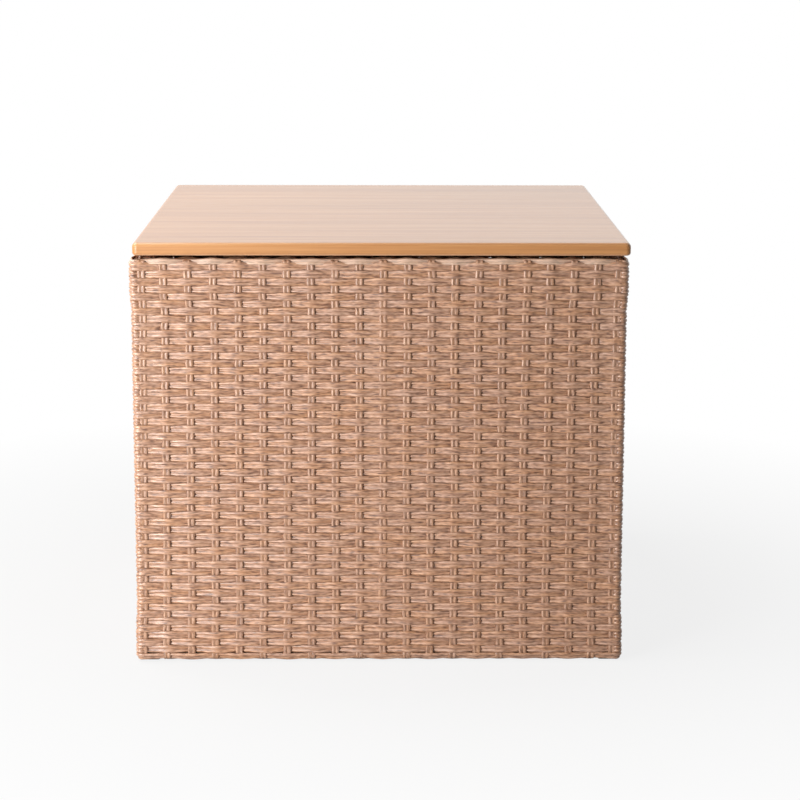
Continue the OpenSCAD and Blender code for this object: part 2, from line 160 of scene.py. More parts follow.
def wood_figure():
    """The pattern of plain-sawn board as a node group: long streaks, growth rings and open pores.

    Position goes in with the grain along X. Each share of the figure is a noise that is drawn out
    about 2 to 80 times along X, so it comes out as lines that wander a little.
    """
    group = bpy.data.node_groups.new("wood_figure", "ShaderNodeTree")
    group.interface.new_socket("Position", in_out="INPUT", socket_type="NodeSocketVector")
    for name in ("Figure", "Pores", "Cloud"):
        group.interface.new_socket(name, in_out="OUTPUT", socket_type="NodeSocketFloat")
    position = group.nodes.new("NodeGroupInput").outputs["Position"]
    sink = group.nodes.new("NodeGroupOutput")

    def drawn_out(along, across, **settings):
        return noise(group, stretched(group, position, (along, across, across)), Scale=1.0,
                     **settings)

    streaks = drawn_out(2.0, 60.0, Detail=5.0, Roughness=0.6, Distortion=0.3)
    lines = drawn_out(5.0, 420.0, Detail=3.0, Roughness=0.55)
    pores = drawn_out(45.0, 1500.0, Detail=2.0)
    cloud = drawn_out(2.5, 6.0, Detail=2.0)
    figure = add_node(group, "ShaderNodeMix", {"data_type": "FLOAT"}, Factor=0.45, A=streaks,
                      B=lines)
    group.links.new(figure.outputs["Result"], sink.inputs["Figure"])
    group.links.new(pores, sink.inputs["Pores"])
    group.links.new(cloud, sink.inputs["Cloud"])
    return group


wood_group = wood_figure()


def wood_finish(name, dark, middle, light, roughness, along="X", lower_edge=None):
    """Board in three tones of one wood, with its grain along X or Y.

    Given the height of its lower edge, it is a lid's board: it has a sealing coat, thick on the
    top face and thin on the edges, and a paler band is painted along the lower arris, as a painted
    reflection of the floor.
    """
    material, tree, shader = new_material(name)
    place = add_node(tree, "ShaderNodeTexCoord").outputs["Object"]
    turn = {"X": (0, 0, 0), "Y": (0, 0, math.pi / 2)}[along]
    laid = add_node(tree, "ShaderNodeMapping", Vector=place, Rotation=turn)
    figure = add_node(tree, "ShaderNodeGroup", {"node_tree": wood_group},
                      Position=laid.outputs["Vector"])
    tone = ramp(tree, figure.outputs["Figure"], [(0.33, dark), (0.5, middle), (0.68, light)])
    shade = ramp(tree, figure.outputs["Cloud"], [(0.35, grey(0.9)), (0.65, grey(1.0))])
    board = mixed_colour(tree, 1.0, tone, shade, "MULTIPLY")
    if lower_edge is not None:
        height = add_node(tree, "ShaderNodeSeparateXYZ", Vector=place).outputs["Z"]
        # Painted reflection: a pale band along the lower arris stands in for the floor mirrored
        # there.
        arris_painted_reflection = add_node(tree, "ShaderNodeMapRange", Value=height, From_Min=lower_edge + 0.0022,
                          From_Max=lower_edge + 0.0008, To_Max=0.3).outputs["Result"]
        board = mixed_colour(tree, arris_painted_reflection, board, srgb(240, 214, 188))
        upward = add_node(tree, "ShaderNodeMapRange", Value=height, From_Min=lower_edge + 0.0085,
                          From_Max=lower_edge + 0.012, To_Min=0.255, To_Max=0.85)
        tree.links.new(upward.outputs["Result"], shader.inputs["Coat Weight"])
        shader.inputs["Coat Roughness"].default_value = 0.21
    tree.links.new(board, shader.inputs["Base Color"])
    tree.links.new(ramp(tree, figure.outputs["Pores"],
                        [(0.35, grey(roughness + 0.1)), (0.6, grey(roughness))]),
                   shader.inputs["Roughness"])
    relief(tree, shader, figure.outputs["Pores"], 0.4, 0.00012)
    return material


finish_nodes(wood_finish("floor_ply", srgb(98, 72, 52), srgb(122, 92, 68), srgb(140, 108, 82),
                         0.55), "floor_panel")


# Screws: zinc-plated steel with a cross recess, driven in by a power tool. The plating is dulled
# in a faint cloud, and has fine rubbed lines.
def steel_finish(name, tone, roughness, run):
    """Plated or brushed steel: fine scratches drawn out along X, and a faint cloud of tarnish.

    The run is how often the scratches change along X in a metre.
    """
    material, tree, shader = new_material(name)
    shader.inputs["Metallic"].default_value = 1.0
    place = add_node(tree, "ShaderNodeTexCoord").outputs["Object"]
    lines = noise(tree, stretched(tree, place, (run, 2200.0, 2200.0)), Scale=1.0, Detail=3.0)
    cloud = noise(tree, place, Scale=160.0, Detail=3.0)
    dull = tuple(0.82 * share for share in tone[:3]) + (1.0,)
    tree.links.new(ramp(tree, cloud, [(0.35, dull), (0.6, tone)]), shader.inputs["Base Color"])
    tree.links.new(ramp(tree, lines, [(0.3, grey(roughness - 0.08)), (0.7, grey(roughness + 0.1))]),
                   shader.inputs["Roughness"])
    relief(tree, shader, lines, 0.35, 0.0001)
    return material


zinc = steel_finish("zinc_plating", srgb(196, 196, 190), 0.36, 500.0)
finish_nodes(zinc, "floor_screws", "hinge_rim_screws", "hinge_lid_screws", "batten_screws")


# Hinges: two stop hinges of brushed stainless sheet and bar, each with five knuckles on a pin
# whose ends are riveted over.
brushed = steel_finish("brushed_stainless", srgb(188, 188, 186), 0.3, 60.0)
finish_nodes(brushed, *[f"{side}_hinge_{part}" for side in ("left", "right")
                        for part in ("fixed_leaf", "moving_leaf", "pin")])


# Weave: extruded plastic rattan strip, 8 mm wide, woven as one cloth over the frame. Every strand
# is worked out lying flat, in (along, u, d): along the box's side, u up the cloth, d out of it.
# The cloth is then folded round the corners, over the rim and under the lower edge.
WEAVE_LOW, WEAVE_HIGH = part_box("front_weave")
HEM_Z, RIM_Z = WEAVE_LOW[2], WEAVE_HIGH[2]
FLARE, WAIST = 0.0014, 0.0013
WAIST_FOOT, FOOT_RUN, WAIST_HEAD, HEAD_RUN = 0.03, 0.035, 0.39, 0.02
HALF = -WEAVE_LOW[1] - FLARE
CORNER, RIM_FOLD, HEM_FOLD = 0.007, 0.004, 0.007
SUNK = 0.0028
RIM_DEEP, RIM_DROP, HEM_DEEP = WEAVE_HIGH[1] - WEAVE_LOW[1], 0.024, 0.0235

# The frame's outer face and the edges behind which a strand may dip in between its pieces.
FRAME_FACE = -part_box("front_upright")[0][1]
UPRIGHT_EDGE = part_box("front_upright")[1][0] + 0.0035
POST_EDGE = -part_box("front_left_post")[1][0] - 0.0025
LOW_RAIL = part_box("front_bottom_rail")[1][2] + 0.0009
HIGH_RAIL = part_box("front_top_rail")[0][2] - 0.0009
DIP_SLOPE = 0.4

# How far up the cloth each straight and each fold of it starts.
rim_turn = (RIM_FOLD - SUNK) * math.pi / 2
hem_turn = (HEM_FOLD - SUNK) * math.pi / 2
u_hem = HEM_DEEP - HEM_FOLD
u_up = u_hem + hem_turn
u_rim = u_up + (RIM_Z - RIM_FOLD) - (HEM_Z + HEM_FOLD)
u_top = u_rim + rim_turn
u_in = u_top + RIM_DEEP - 2 * RIM_FOLD
u_down = u_in + rim_turn
u_end = u_down + RIM_DROP - RIM_FOLD


def fold_cloth(u, d):
    """Where a point of the flat cloth comes to lie: its depth in from the side, and its height.

    The cloth's middle runs out under the lower edge, round a quarter circle, straight up the side,
    round a quarter circle on to the rim, in over the rim, and round a last quarter circle down its
    inner face. A point d off the middle lies that far along the normal.
    """
    straights = [(0.0, HEM_DEEP, HEM_Z + SUNK, -1.0, 0.0), (u_up, SUNK, HEM_Z + HEM_FOLD, 0.0, 1.0),
                 (u_top, RIM_FOLD, RIM_Z - SUNK, 1.0, 0.0),
                 (u_down, RIM_DEEP - SUNK, RIM_Z - RIM_FOLD, 0.0, -1.0)]
    folds = [(u_hem, HEM_FOLD, HEM_Z + HEM_FOLD, HEM_FOLD - SUNK, -90),
             (u_rim, RIM_FOLD, RIM_Z - RIM_FOLD, RIM_FOLD - SUNK, 0),
             (u_in, RIM_DEEP - RIM_FOLD, RIM_Z - RIM_FOLD, RIM_FOLD - SUNK, 90)]
    depth, height = np.zeros_like(u + d), np.zeros_like(u + d)
    for (u0, depth0, height0, run, rise), u1 in zip(straights, (u_hem, u_rim, u_in, math.inf)):
        here = (u >= u0) & (u < u1) if u0 else u < u1
        depth = np.where(here, depth0 + run * (u - u0) - rise * d, depth)
        height = np.where(here, height0 + rise * (u - u0) + run * d, height)
    for (u0, depth0, height0, radius, start), u1 in zip(folds, (u_up, u_top, u_down)):
        here = (u >= u0) & (u < u1)
        angle = math.radians(start) + (u - u0) / radius
        depth = np.where(here, depth0 - (radius + d) * np.cos(angle), depth)
        height = np.where(here, height0 + (radius + d) * np.sin(angle), height)
    return depth, height


def spread(height):
    """How much wider than at the rim the box is at a height: it flares downwards in a straight
    line, and its sides are drawn in between the rails, with a smooth step at each rail."""
    below = np.clip((height - WAIST_FOOT) / FOOT_RUN, 0, 1)
    above = np.clip((WAIST_HEAD - height) / HEAD_RUN, 0, 1)
    between = below * above
    return FLARE * (1 - height / RIM_Z) - WAIST * between ** 2 * (3 - 2 * between)


def clear_of_frame(along, u):
    """The least a strand stands off the cloth's middle, so that it passes in front of a post, a
    rail or an upright. Beside them it may dip in by a share of the distance from their edge."""
    height = HEM_Z + HEM_FOLD + u - u_up
    beside = np.minimum(np.abs(along) - UPRIGHT_EDGE, POST_EDGE - np.abs(along))
    beside = np.minimum(beside, np.minimum(height - LOW_RAIL, HIGH_RAIL - height))
    least = SUNK + FRAME_FACE - HALF - spread(height) - DIP_SLOPE * np.maximum(beside, 0)
    return np.where((u > u_up) & (u < u_rim), least, -1.0)


def stand_up(side, along, corner_x, corner_y, depth, height):
    """Sets folded points up in the box: each lies depth inside its side, and the sides turn by
    quarter turns. At a corner, corner_x and corner_y point out from the corner's axis."""
    radius = CORNER - depth
    wide = 1 + spread(height) / HALF
    x = (along + radius * corner_x) * wide
    y = (-(HALF - CORNER) - radius * corner_y) * wide
    turn = side * math.pi / 2
    return np.stack([x * np.cos(turn) - y * np.sin(turn), x * np.sin(turn) + y * np.cos(turn),
                     height + 0 * x], axis=-1)


# Strip: as it is extruded, it has two rounded ridges with a groove between them and a flat back.
# Across it go (share of the half width, height of its skin over its middle), round from one edge.
# A stake is pressed flatter by the courses, and its left ridge, which comes last, is the higher.
STRIP = np.array([
    (-1.0, -0.0004), (-0.88, 0.0002), (-0.7, 0.00076), (-0.51, 0.00104), (-0.32, 0.00078),
    (-0.15, 0.0002), (0.0, -0.0001), (0.15, 0.0002), (0.32, 0.00078), (0.51, 0.00104),
    (0.7, 0.00076), (0.88, 0.0002), (1.0, -0.0004), (0.6, -0.0006), (-0.6, -0.0006)])
STAKE_STRIP = np.array([-0.0004, 0.0002, 0.0006, 0.00075, 0.00065, 0.0004, 0.0003, 0.00045, 0.0008,
                        0.001, 0.00085, 0.0003, -0.0004, -0.0006, -0.0006])
STRIP_ACROSS = np.array([0, 0.06, 0.15, 0.245, 0.34, 0.425, 0.5, 0.575, 0.66, 0.755, 0.85, 0.94,
                         1.0, 1.3, 1.7, 2.0])
strand_random = np.random.default_rng(21)


def strand_finish(name, painted_shading_share, painted_shading_cast, gloss):
    """Plastic with darker and paler streaks drawn along it by the extruder, and a satin skin.

    The map holds metres along the strand, and its number plus half the way round it. Streaks are
    noises drawn out along the strand, and its number shifts them. The groove and the edges are
    painted browner, as painted shade in these recesses. The painted shading share mixes in another
    cast: painted light on the top course, painted shade on the stakes. Gloss is the weight of the
    clear skin.
    """
    material, tree, shader = new_material(name)
    flat = add_node(tree, "ShaderNodeUVMap", {"uv_map": "strand"}).outputs["UV"]
    place = add_node(tree, "ShaderNodeSeparateXYZ", Vector=flat).outputs["Y"]
    across = add_node(tree, "ShaderNodeMath", {"operation": "FRACT"}, _0=place).outputs[0]
    # Painted shade: the groove between the ridges and the strip's edges are darkened in the colour.
    ridge, slope = srgb(255, 255, 255), srgb(252, 250, 248)
    edge, valley_shade = srgb(226, 218, 212), srgb(226, 216, 209)
    groove = ramp(tree, across, [(0.0, edge), (0.1, ridge), (0.18, slope), (0.25, valley_shade),
                                 (0.32, slope), (0.4, ridge), (0.5, edge)])
    broad = noise(tree, stretched(tree, flat, (14.0, 3.0, 1.0)), Scale=1.0, Detail=2.0,
                  Roughness=0.6)
    streaks = noise(tree, stretched(tree, flat, (90.0, 8.0, 1.0)), Scale=1.0, Detail=2.0,
                    Roughness=0.6)
    flecks = noise(tree, stretched(tree, flat, (190.0, 11.0, 1.0)), Scale=1.0, Detail=0.0,
                   Roughness=0.6)
    figure = add_node(tree, "ShaderNodeMix", {"data_type": "FLOAT"}, Factor=0.3, A=streaks,
                      B=flecks).outputs["Result"]
    tone = ramp(tree, figure, [(0.34, srgb(128, 92, 71)), (0.44, srgb(182, 141, 113)),
                               (0.53, srgb(210, 169, 139)), (0.66, srgb(231, 196, 169))])
    cast = ramp(tree, broad, [(0.36, srgb(255, 236, 214)), (0.62, srgb(248, 240, 240))])
    tinted = mixed_colour(tree, 1.0, tone, cast, "MULTIPLY")
    groove_shaded = mixed_colour(tree, 1.0, tinted, groove, "MULTIPLY")
    # The painted shading share mixes in a cast: painted light on the top course, painted shade on
    # the stakes.
    tree.links.new(mixed_colour(tree, painted_shading_share, groove_shaded, painted_shading_cast), shader.inputs["Base Color"])
    tree.links.new(ramp(tree, figure, [(0.35, grey(0.5)), (0.6, grey(0.4))]),
                   shader.inputs["Roughness"])
    shader.inputs["Specular IOR Level"].default_value = 0.8
    shader.inputs["Coat Weight"].default_value = gloss
    shader.inputs["Coat Roughness"].default_value = 0.42
    shader.inputs["Coat IOR"].default_value = 1.65
    relief(tree, shader, figure, 0.4, 0.00025)
    return material


def strand_piece(name, strands, material, closed=True):
    """One piece from strands, each an array (samples, across, 3) with the length along it.

    Faces join neighbours along and across. A closed strand runs on into its own start, and an open
    one's ends close on their middle. The map is the one that the strands' finish reads.
    """
    points, quads, ends, quad_maps, end_maps = [], [], [], [], []
    start = 0
    for number, (strand, length) in enumerate(strands):
        n, m = strand.shape[:2]
        i, j = np.meshgrid(np.arange(n if closed else n - 1), np.arange(m), indexing="ij")
        beyond, beside = (i + 1) % n, (j + 1) % m
        quads.append(np.stack([i * m + j, beyond * m + j, beyond * m + beside, i * m + beside], -1)
                     .reshape(-1, 4) + start)
        run_on = np.append(length, 2 * length[-1] - length[-2])
        offset = 3.7 * strand_random.random()
        u = np.stack([length[i], run_on[i + 1], run_on[i + 1], length[i]], -1) + offset
        v = np.stack([STRIP_ACROSS[j], STRIP_ACROSS[j], STRIP_ACROSS[j + 1], STRIP_ACROSS[j + 1]],
                     -1) / 2
        quad_maps.append(np.stack([u, v + number], -1).reshape(-1, 2))
        points.append(strand.reshape(-1, 3))
        if not closed:
            rim = np.arange(m)
            ends += [(start + rim[::-1]).tolist(), (start + (n - 1) * m + rim).tolist()]
            end_maps.append(np.tile([offset + length[0], number + 0.25], (2 * m, 1)))
        start += n * m
    mesh = bpy.data.meshes.new(name)
    mesh.from_pydata(np.concatenate(points).tolist(), [], np.concatenate(quads).tolist() + ends)
    flat = np.concatenate(quad_maps + end_maps).ravel().astype(np.float32)
    mesh.uv_layers.new(name="strand").data.foreach_set("uv", flat)
    mesh.shade_smooth()
    mesh.validate()
    piece = bpy.data.objects.new(name, mesh)
    bpy.context.scene.collection.objects.link(piece)
    mesh.materials.append(material)
    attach(piece, "box")
    return piece


# Courses: 56 strips laid round the box, one above the other, over and under the stakes. The first
# one is narrower and leans in over the rim's edge, and its colour is painted paler, as painted
# light.
STAKES, PITCH = 21, 0.0241
COURSES, COURSE, BEATEN, COURSES_IN_PIECE = 56, 0.0076, 6.5e-7, 11
TOP_Z, SECOND_Z = 0.4196, 0.4144
TOP_WIDTH, WEFT_WIDTH, LAST_WIDTH = 0.006, 0.0084, 0.0074
TOP_LEAN, CORNER_DROP = 40.0, 0.2
SWING, OVER_RISE, OVER_WIDER = 0.0018, 0.0003, 0.06
UNEVEN_RISE, UNEVEN_SWING, SET_BACK, UNEVEN_WIDTH, TILT = 0.00018, 0.06, 0.00004, 0.02, 0.025
CORNER_REACH, CORNER_FLAT, CORNER_PROUD = 0.42, 0.85, 0.002
HEM_SWING, HEM_LIFT = 0.0008, 0.001

# The stakes were set out by eye: spaced evenly, then a little to the right and bowed apart.
STAKE_AT = (np.arange(STAKES) - (STAKES - 1) / 2) * PITCH
STAKE_AT = STAKE_AT + 0.0039 + 0.0084 * STAKE_AT - 0.07 * STAKE_AT ** 2
STAKE_AT = np.clip(STAKE_AT, -0.241, 0.241)


def weft_wave(q):
    """A wave of even slopes with rounded crests, once per 2: the arcsine of a damped cosine."""
    return np.arcsin(0.975 * np.cos(np.pi * q)) / math.asin(0.975)


def through(values, q):
    """Values given at whole numbers, passed through smoothly at q, and closed into a ring."""
    index = np.floor(q).astype(int)
    share = q - index
    share = share * share * (3 - 2 * share)
    n = len(values)
    return values[index % n] * (1 - share) + values[(index + 1) % n] * share


def ring_samples(deep):
    """Samples round the box for a strand that lies up to deep inside the sides.

    The stake count q runs on round the box, half a count past the last stake of a side on the
    corner's diagonal. The path bends there along an arc, or is mitred where it lies too deep.
    Returns side, place along it, corner direction and q.
    """
    flat = HALF - CORNER
    bend_length = (CORNER - SUNK) * math.pi / 4
    count = (np.arange(STAKES)[:, None] + np.array([-0.42, -0.2, -0.07, 0.07, 0.2, 0.42])).ravel()
    last = STAKES - 0.5
    count = np.concatenate([[-0.5, -0.43, -0.36, -0.29], count[1:-1],
                            [last - 0.21, last - 0.14, last - 0.07]])
    path = np.interp(count, np.concatenate([[-0.5], np.arange(STAKES), [last]]),
                     np.concatenate([[-flat - bend_length], STAKE_AT, [flat + bend_length]]))
    if deep < CORNER:
        along = np.clip(path, -flat, flat)
        bend = (path - along) / (CORNER - SUNK)
        corner_x, corner_y = np.sin(bend), np.cos(bend)
    else:
        keep = np.abs(path) < HALF - deep - 0.0006
        along = np.concatenate([path[keep], [flat]])
        count = np.concatenate([count[keep], [last]])
        corner_x, corner_y = (along == flat) * 1.0, np.ones(len(along))
    side = np.repeat(np.arange(4), len(along))
    return (side, np.tile(along, 4), np.tile(corner_x, 4), np.tile(corner_y, 4),
            np.tile(count, 4) + STAKES * side)


def weft_ring(course, u_middle, width, deep=0.0, swing=SWING, lift=0.0, lean=None):
    """A course of weft: it swings out and a little up over every second stake, and in behind the
    others, where it is narrower and lies flat against the frame. At the corners its swing dies
    away and it stands proud on the posts. One with a lean isn't folded with the cloth but stands
    up, and leans in by the lean times the square of the rise from its lower edge. At corners it
    leans twice as much and drops. One with a lift lies that far out, and neither rises nor widens.
    """
    side, along, corner_x, corner_y, q = ring_samples(deep)
    loose = strand_random.normal(size=(4, 4 * STAKES))
    wave = weft_wave(q) * (-1) ** (course + 1)
    free = wave * (lift == 0)
    u = u_middle + OVER_RISE * free + UNEVEN_RISE * through(loose[0], q)
    out = lift + swing * wave * (1 + UNEVEN_SWING * through(loose[1], q))
    out = out - SET_BACK * np.abs(through(loose[2], q))
    from_diagonal = (q + (STAKES + 1) / 2) % STAKES - STAKES / 2
    corner = np.exp(-(from_diagonal / CORNER_REACH) ** 2) * (deep < CORNER)
    out = out * (1 - CORNER_FLAT * corner) + CORNER_PROUD * corner
    tilt = TILT * through(loose[3], q)
    half = width / 2 * (1 + OVER_WIDER * free + UNEVEN_WIDTH * through(loose[2], q))
    across = half[:, None] * STRIP[None, :, 0]
    d = out[:, None] + STRIP[None, :, 1] + tilt[:, None] * across
    u = u[:, None] + across
    least = clear_of_frame(along[:, None], u) + np.where(STRIP[:, 1] > 0, 0.0002, 0.0)
    d = np.minimum(np.maximum(d, least), SUNK)
    if lean is None:
        depth, height = fold_cloth(u, d)
    else:
        rise = across + half[:, None]
        depth = SUNK - d + lean * rise ** 2 * (1 + corner[:, None])
        height = HEM_Z + HEM_FOLD + u - u_up - CORNER_DROP * rise * corner[:, None]
    points = stand_up(side[:, None], along[:, None], corner_x[:, None], corner_y[:, None],
                      depth, height)
    return points, q * PITCH


# The courses lie a little closer towards the foot, where they were beaten down more.
down = np.arange(COURSES) - 1
course_z = SECOND_Z - COURSE * down + BEATEN * down ** 2
course_z[0] = TOP_Z
course_u = u_up + course_z - (HEM_Z + HEM_FOLD)
rings = [weft_ring(0, course_u[0], TOP_WIDTH, lean=TOP_LEAN)]
rings += [weft_ring(course, course_u[course], WEFT_WIDTH) for course in range(1, COURSES - 1)]
rings += [weft_ring(COURSES - 1, course_u[-1], LAST_WIDTH, swing=HEM_SWING, lift=HEM_LIFT)]

rattan = strand_finish("plastic_rattan", 0.0, srgb(255, 255, 255), 0.9)
# Painted light: the top course's colour is mixed towards a pale cast, as if it were lit more
# brightly.
top_course_painted_light = strand_finish("top_course_painted_light", 0.33, srgb(252, 228, 204), 0.7)
top_course = strand_piece("top_course", rings[:1], top_course_painted_light)
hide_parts(*[f"{side}_weave" for side in SIDES])
for group, first in enumerate(range(1, COURSES, COURSES_IN_PIECE)):
    strand_piece(f"weft_courses_{group + 1}", rings[first:first + COURSES_IN_PIECE], rattan)


# Rim: six more courses are laid over it and down its inner face, and hide the top rails. They are
# pressed together a little closer, and their corners are folded.
RIM_COURSES, RIM_COURSE, RIM_WIDTH = 6, 0.0071, 0.0077
rim_u = u_top + 0.0041 + RIM_COURSE * np.arange(RIM_COURSES)
rim_rings = [weft_ring(-1 - k, rim_u[k], RIM_WIDTH, deep=min(rim_u[k] - u_top + 0.0112, 0.0325))
             for k in range(RIM_COURSES)]
strand_piece("rim_courses", rim_rings, rattan)


# Lower edge: the cloth is turned in under the bottom rails, with two short courses under each one,
# cut off at the glides and tucked in at both ends.
HEM_REACH, HEM_HALF = 0.2235, 0.0039


def hem_strip(side, course, u_middle):
    """A short course under a bottom rail, between the glides, closed at both ends."""
    count = np.arange(-0.5, STAKES, 0.125)
    along = (count - (STAKES - 1) / 2) * PITCH
    along = np.concatenate([[-HEM_REACH], along[np.abs(along) < HEM_REACH - 0.001], [HEM_REACH]])
    q = np.interp(along, STAKE_AT, np.arange(STAKES)) + STAKES * side
    out = HEM_LIFT + HEM_SWING * weft_wave(q) * (-1) ** (course + 1)
    closing = np.ones(len(q))
    closing[[0, -1]] = 0.02
    across = HEM_HALF * closing[:, None] * STRIP[None, :, 0]
    d = out[:, None] + STRIP[None, :, 1] * closing[:, None]
    depth, height = fold_cloth(u_middle + across, d)
    return stand_up(side, along[:, None], 0.0, 1.0, depth, height), q * PITCH


hem_strips = [hem_strip(side, COURSES + k, course_u[-1] - COURSE * (k + 1))
              for side in range(4) for k in range(2)]
strand_piece("hem_courses", hem_strips, rattan, closed=False)


# Stakes: 21 upright strips on each side, from under the lower edge up to the rim and down its
# inner face. They hardly bend, and the courses are woven round them. Their skin is duller, and
# their colour is painted darker, as painted shade between the courses.
STAKE_HALF, STAKE_OUT, HEM_OUT = 0.0042, 0.0005, 0.0004
RIM_WEAVE, HEM_WEAVE = 0.0009, 0.0005
SWAY, WANDER = 0.0002, 0.0008


def stake(side, column, u0, u1):
    """A stake from u0 to u1 up the cloth: over the rim and the lower edge it goes out between two
    courses and in behind the next, as a rounded square wave. It sways a little, leans as it was
    led by hand, and both ends close on their middle."""
    course_count = np.arange(-RIM_COURSES, COURSES + 6)
    course_at = np.concatenate([rim_u[::-1], course_u, course_u[-1] - COURSE * np.arange(1, 7)])
    row = np.arange(-4.0, COURSES + 6.0, 0.22)
    u = np.interp(row, course_count, course_at)
    order = np.argsort(u)
    u, row = u[order], row[order]
    keep = (u > u0) & (u < u1)
    u, row = u[keep], row[keep]
    u, row = np.concatenate([[u0], u, [u1]]), np.concatenate([row[:1], row, row[-1:]])
    crest = np.tanh(1.3 * np.cos(np.pi * (row + column + side * STAKES))) / math.tanh(1.3)
    over_rim = np.exp(-((u - u_rim - 0.001) / 0.004) ** 2)
    over_hem = np.clip((u_up + 0.003 - u) / 0.004, 0, 1)
    out = (RIM_WEAVE * over_rim + HEM_WEAVE * over_hem) * crest + STAKE_OUT + HEM_OUT * over_hem
    out = np.maximum(out, clear_of_frame(STAKE_AT[column], u) + 0.0003)
    loose = strand_random.normal(size=(2, COURSES + 12))
    drift = np.cumsum(strand_random.normal(size=12)) * 0.3
    sway = SWAY * through(loose[0], row + 6)
    sway += WANDER * through(drift - drift.mean(), (row + 6) / 6.5)
    sway += (0.0004 - 0.0032 * STAKE_AT[column]) * np.clip((u - u_up) / 0.2 - 1, -1, 1)
    half = STAKE_HALF * (1 + 0.02 * through(loose[1], row + 6))
    closing = np.ones(len(u))
    closing[[0, -1]] = 0.02
    across = (half * closing)[:, None] * STRIP[None, :, 0]
    d = out[:, None] + STAKE_STRIP * closing[:, None]
    depth, height = fold_cloth(u[:, None] + 0 * across, d)
    return stand_up(side, STAKE_AT[column] + sway[:, None] - across, 0.0, 1.0, depth, height), u


# Painted shade: the stakes' colour is mixed towards a darker cast.
stake_rattan = strand_finish("stake_rattan", 0.25, srgb(160, 122, 97), 0.35)
for side, name in enumerate(["front", "right", "rear", "left"]):
    short = [column in (0, STAKES - 1) for column in range(STAKES)]
    strand_piece(f"{name}_stakes", [
        stake(side, column, (u_hem + 0.5 * hem_turn) if short[column] else 0.0005,
              (u_top + 0.003) if short[column] else u_end) for column in range(STAKES)],
        stake_rattan, closed=False)


# Lid: one board of sealed pale hardwood with its long grain from side to side, its corners rounded
# and its edges worked over by hand. It is screwed to the moving leaves, a little to the right.
LID_LOW, LID_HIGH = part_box("lid_panel")
LID_ROUND, LEAST_ROUND, TOP_EASE, LOW_EASE = 0.0055, 0.0002, 0.0042, 0.003


def ring_piece(name, rings, tips):
    """One piece from rings of points (ring, round, xyz): faces join each ring to the next, the
    first ring closes on the first tip, and the last on the second one where there is one."""
    n, m = rings.shape[:2]
    i, j = np.meshgrid(np.arange(n - 1), np.arange(m), indexing="ij")
    beside = (j + 1) % m
    quads = np.stack([i * m + j, (i + 1) * m + j, (i + 1) * m + beside, i * m + beside], -1)
    j, beside = j[0], beside[0]
    fans = [np.stack([0 * j + n * m, j, beside], -1),
            np.stack([0 * j + n * m + 1, (n - 1) * m + beside, (n - 1) * m + j], -1)]
    points = np.concatenate([rings.reshape(-1, 3), tips])
    mesh = bpy.data.meshes.new(name)
    mesh.from_pydata(points.tolist(), [], quads.reshape(-1, 4).tolist()
                     + np.concatenate(fans[:len(tips)]).tolist())
    mesh.shade_smooth()
    mesh.validate()
    piece = bpy.data.objects.new(name, mesh)
    bpy.context.scene.collection.objects.link(piece)
    return piece


def lid_board():
    """A slab: a profile over half of its thickness and back, carried round a rounded square.

    The outline insets evenly, so each ring of the profile is the outline drawn in by its depth.
    """
    low, high = np.array(LID_LOW), np.array(LID_HIGH)
    middle, half = (low + high) / 2, (high - low) / 2
    turn = np.radians(np.linspace(0, 90, 9))
    flat = np.array([0.12, 0.02, 0.006])
    depth = np.concatenate([flat, TOP_EASE * (1 - np.sin(turn)), LOW_EASE * (1 - np.cos(turn)),
                            flat[::-1]])
    height = np.concatenate([0 * flat + half[2], half[2] - TOP_EASE * (1 - np.cos(turn)),
                             LOW_EASE * (1 - np.sin(turn)) - half[2], 0 * flat - half[2]])
    bend = np.concatenate([np.radians(np.linspace(90 * k, 90 * k + 90, 13)) for k in range(4)])
    signs = np.repeat([[1, 1], [-1, 1], [-1, -1], [1, -1]], 13, axis=0)
    radius = np.maximum(LID_ROUND - depth, LEAST_ROUND)[:, None]
    inset = np.where(depth < LID_ROUND - LEAST_ROUND, LID_ROUND, depth + LEAST_ROUND)[:, None]
    x = middle[0] + signs[:, 0] * (half[0] - inset) + radius * np.cos(bend)
    y = middle[1] + signs[:, 1] * (half[1] - inset) + radius * np.sin(bend)
    z = middle[2] + height[:, None] + 0 * x
    tips = [[middle[0], middle[1], high[2]], [middle[0], middle[1], low[2]]]
    return ring_piece("lid_board", np.stack([x, y, z], -1), tips)


lid = lid_board()
lid.data.materials.append(wood_finish("lid_wood", srgb(190, 126, 74), srgb(212, 148, 90),
                                      srgb(228, 168, 110), 0.4, lower_edge=LID_LOW[2]))
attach(lid, "lid")
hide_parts("lid_panel")


# Battens: two sloped-off strips of the same wood screwed under the board against warping, with
# their grain from front to back.
finish_nodes(wood_finish("batten_wood", srgb(178, 120, 78), srgb(200, 142, 98), srgb(216, 162, 116),
                         0.5, along="Y"), "left_lid_batten", "right_lid_batten")


# Bumpers: four black rubber discs stuck under the board, which rest on the rim.
finish_nodes(coated_finish("bumper_rubber", srgb(34, 31, 29), srgb(44, 41, 38), 0.7, 1100, 0.00015),
             "lid_bumpers")


# Studio: a pale floor that fills the view, a white room, one lamp at the left and one above the
# lid, and the camera a step above the lid.
FLOOR_RINGS = [0.6, 2.0, 8.0, 30.0]
bend = np.linspace(0, 2 * math.pi, 64, endpoint=False)
radius = np.array(FLOOR_RINGS)[:, None]
disc = np.stack([radius * np.cos(bend), radius * np.sin(bend), 0 * radius * bend], -1)
floor = ring_piece("studio_floor", disc, [[0.0, 0.0, 0.0]])


